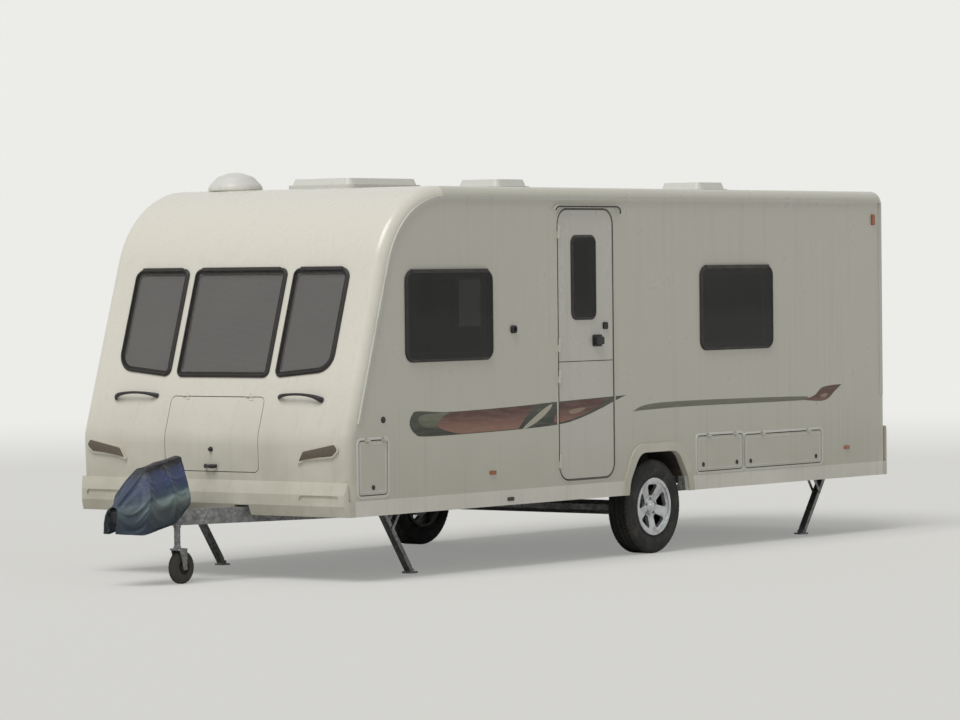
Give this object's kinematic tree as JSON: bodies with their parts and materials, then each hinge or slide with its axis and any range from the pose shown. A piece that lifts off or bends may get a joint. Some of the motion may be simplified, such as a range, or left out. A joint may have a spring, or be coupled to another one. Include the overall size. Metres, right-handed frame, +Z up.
{
  "type": "travel caravan",
  "caption": "Single-axle touring caravan with slanted front, stable door, hitch drawbar, jockey wheel and wind-down corner steadies.",
  "frame": {"origin": "on the ground under the middle of the whole length, on the centre plane", "axes": "+X forward to the hitch, +Y to the side of the entrance door, +Z up"},
  "size_m": [7.3473, 2.33, 2.644],
  "materials": {
    "cream_skin": "gloss stove enamel on aluminium sheet, dusty",
    "door_skin": "gloss paint",
    "cream_moulding": "gloss moulded plastic",
    "skirt_metal": "painted aluminium extrusion",
    "window_acrylic": "tinted acrylic",
    "black_plastic": "grained black plastic",
    "white_plastic": "moulded white plastic",
    "clear_lens": "clear lamp lens",
    "red_lens": "red lamp lens",
    "amber_lens": "amber lamp lens",
    "rail_aluminium": "anodised aluminium extrusion",
    "galvanised_steel": "hot-dip galvanised, weathered",
    "coupling_steel": "painted casting",
    "wheel_alloy": "silver painted alloy",
    "tyre_rubber": "road tyre",
    "black_rubber": "solid rubber",
    "cover_fabric": "coated woven polyester, faded",
    "floor_board": "bonded plywood sandwich",
    "furniture_board": "laminated furniture ply",
    "seat_fabric": "woven upholstery"
  },
  "bodies": {
    "root": {"chassis_rail_left": "galvanised_steel", "side_wall_left": "cream_skin", "chassis_rail_right": "galvanised_steel", "side_wall_right": "cream_skin", "cross_members": "galvanised_steel", "axle": "galvanised_steel", "floor_panel": "floor_board", "roof_panel": "cream_skin", "front_panel": "cream_moulding", "rear_panel": "cream_moulding", "skirts": "skirt_metal", "arch_mouldings": "cream_moulding", "bumpers": "cream_moulding", "wheel_boxes": "black_plastic", "front_windows": "window_acrylic", "cabin_windows": "window_acrylic", "grab_handles": "black_plastic", "awning_rails": "rail_aluminium", "front_lamps": "clear_lens", "rear_lamps": "red_lens", "side_markers": "amber_lens", "offside_fittings": "white_plastic", "rooflights": "white_plastic", "tv_aerial": "white_plastic", "coupling_head": "coupling_steel", "overrun_unit": "coupling_steel", "handbrake_lever": "coupling_steel", "hitch_cover": "cover_fabric", "jockey_tube": "galvanised_steel", "steady_brackets": "galvanised_steel", "settees": "furniture_board", "kitchen_unit": "furniture_board", "bulkheads": "furniture_board", "seat_cushions": "seat_fabric"},
    "wheel_left": {"tyre_left": "tyre_rubber", "rim_left": "wheel_alloy"},
    "wheel_right": {"tyre_right": "tyre_rubber", "rim_right": "wheel_alloy"},
    "door_upper": {"door_upper": "door_skin", "door_window": "window_acrylic", "door_handle": "black_plastic"},
    "door_lower": {"door_lower": "door_skin"},
    "locker_lid": {"locker_lid": "cream_moulding", "lid_fittings": "black_plastic"},
    "hatch_front": {"hatch_front": "cream_skin"},
    "hatch_bunk": {"hatch_bunk": "cream_skin"},
    "hatch_long": {"hatch_long": "cream_skin"},
    "jockey_stem": {"jockey_stem": "galvanised_steel"},
    "jockey_fork": {"jockey_fork": "galvanised_steel"},
    "jockey_wheel": {"jockey_wheel": "black_rubber"},
    "leg_front_left": {"leg_front_left": "galvanised_steel"},
    "stay_front_left": {"stay_front_left": "galvanised_steel"},
    "leg_front_right": {"leg_front_right": "galvanised_steel"},
    "stay_front_right": {"stay_front_right": "galvanised_steel"},
    "leg_rear_left": {"leg_rear_left": "galvanised_steel"},
    "stay_rear_left": {"stay_rear_left": "galvanised_steel"},
    "leg_rear_right": {"leg_rear_right": "galvanised_steel"},
    "stay_rear_right": {"stay_rear_right": "galvanised_steel"}
  },
  "joints": [
    {"name": "wheel_left_spin", "type": "hinge", "parent": "root", "child": "wheel_left", "pos_m": [-0.671, 1.0155, 0.325], "axis": [0, 1, 0], "continuous": true},
    {"name": "wheel_right_spin", "type": "hinge", "parent": "root", "child": "wheel_right", "pos_m": [-0.671, -1.0155, 0.325], "axis": [0, 1, 0], "continuous": true},
    {"name": "jockey_lift", "type": "slide", "parent": "root", "child": "jockey_stem", "axis": [0, 0, 1], "range_m": [0, 0.11]},
    {"name": "jockey_castor", "type": "hinge", "parent": "jockey_stem", "child": "jockey_fork", "pos_m": [3.19, 0.13192, 0.23], "axis": [0, 0, 1], "continuous": true},
    {"name": "jockey_spin", "type": "hinge", "parent": "jockey_fork", "child": "jockey_wheel", "pos_m": [3.156, 0.13192, 0.105], "axis": [0, 1, 0], "continuous": true},
    {"name": "door_upper_swing", "type": "hinge", "parent": "root", "child": "door_upper", "pos_m": [0.472, 1.152, 1.35], "axis": [0, 0, -1], "range_deg": [0, 175]},
    {"name": "door_lower_swing", "type": "hinge", "parent": "root", "child": "door_lower", "pos_m": [0.472, 1.152, 1.35], "axis": [0, 0, -1], "range_deg": [0, 175]},
    {"name": "locker_lid_lift", "type": "hinge", "parent": "root", "child": "locker_lid", "pos_m": [2.63467, 0, 1.17739], "axis": [0, -1, 0], "range_deg": [0, 80]},
    {"name": "hatch_front_lift", "type": "hinge", "parent": "root", "child": "hatch_front", "pos_m": [2.452, 1.148, 0.9], "axis": [1, 0, 0], "range_deg": [0, 95]},
    {"name": "hatch_bunk_lift", "type": "hinge", "parent": "root", "child": "hatch_bunk", "pos_m": [-1.424, 1.148, 0.793], "axis": [1, 0, 0], "range_deg": [0, 95]},
    {"name": "hatch_long_lift", "type": "hinge", "parent": "root", "child": "hatch_long", "pos_m": [-2.228, 1.148, 0.782], "axis": [1, 0, 0], "range_deg": [0, 95]},
    {"name": "steady_front_left_wind", "type": "hinge", "parent": "root", "child": "leg_front_left", "pos_m": [2, 0.81, 0.468], "axis": [0, 1, 0], "range_deg": [0, 47]},
    {"name": "stay_front_left_fold", "type": "hinge", "parent": "leg_front_left", "child": "stay_front_left", "pos_m": [1.88492, 0.81, 0.30443], "axis": [0, 1, 0], "range_deg": [-94, 0]},
    {"name": "steady_front_right_wind", "type": "hinge", "parent": "root", "child": "leg_front_right", "pos_m": [2, -0.81, 0.468], "axis": [0, 1, 0], "range_deg": [0, 47]},
    {"name": "stay_front_right_fold", "type": "hinge", "parent": "leg_front_right", "child": "stay_front_right", "pos_m": [1.88492, -0.81, 0.30443], "axis": [0, 1, 0], "range_deg": [-94, 0]},
    {"name": "steady_rear_left_wind", "type": "hinge", "parent": "root", "child": "leg_rear_left", "pos_m": [-3.27, 0.81, 0.468], "axis": [0, -1, 0], "range_deg": [0, 47]},
    {"name": "stay_rear_left_fold", "type": "hinge", "parent": "leg_rear_left", "child": "stay_rear_left", "pos_m": [-3.15492, 0.81, 0.30443], "axis": [0, -1, 0], "range_deg": [-94, 0]},
    {"name": "steady_rear_right_wind", "type": "hinge", "parent": "root", "child": "leg_rear_right", "pos_m": [-3.27, -0.81, 0.468], "axis": [0, -1, 0], "range_deg": [0, 47]},
    {"name": "stay_rear_right_fold", "type": "hinge", "parent": "leg_rear_right", "child": "stay_rear_right", "pos_m": [-3.15492, -0.81, 0.30443], "axis": [0, -1, 0], "range_deg": [-94, 0]}
  ],
  "couplings": [
    {"joint": "stay_front_left_fold", "follows": "steady_front_left_wind", "ratio": -2},
    {"joint": "stay_front_right_fold", "follows": "steady_front_right_wind", "ratio": -2},
    {"joint": "stay_rear_left_fold", "follows": "steady_rear_left_wind", "ratio": -2},
    {"joint": "stay_rear_right_fold", "follows": "steady_rear_right_wind", "ratio": -2}
  ]
}
